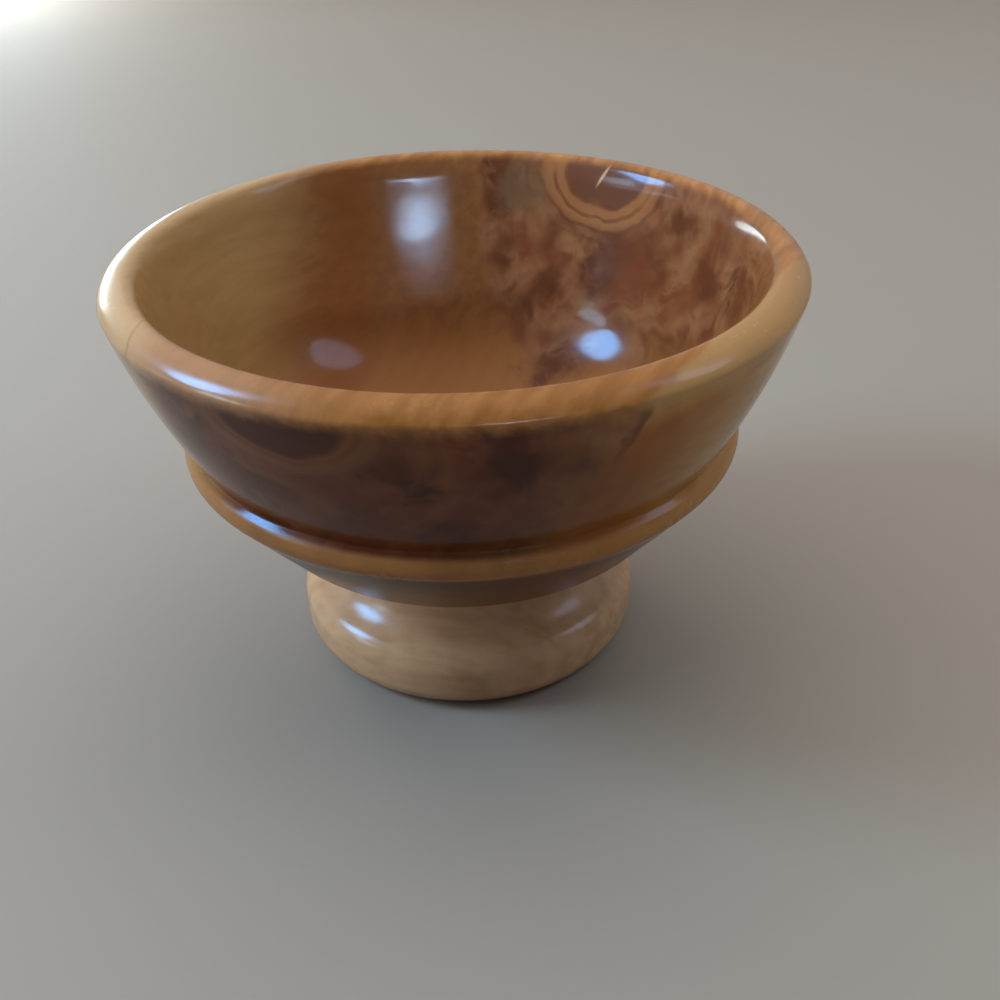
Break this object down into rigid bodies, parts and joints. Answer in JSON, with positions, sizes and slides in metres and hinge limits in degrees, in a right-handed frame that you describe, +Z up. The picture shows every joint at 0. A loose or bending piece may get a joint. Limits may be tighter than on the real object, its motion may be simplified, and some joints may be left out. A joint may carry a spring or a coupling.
{
  "type": "pedestal bowl",
  "caption": "Turned wooden bowl of figured brown wood with a rolled lip and a bead round its outside, on a pale moulded pedestal foot.",
  "frame": {"origin": "on the turning axis, at the surface the foot stands on", "axes": "+Z up along the turning axis; the picture's camera is on the -Y side, looking towards +Y with +X to its right"},
  "size_m": [0.1574, 0.1574, 0.103],
  "materials": {
    "bowl_wood": "gloss",
    "foot_wood": "satin gloss"
  },
  "bodies": {
    "root": {"bowl": "bowl_wood", "foot": "foot_wood"}
  },
  "joints": []
}
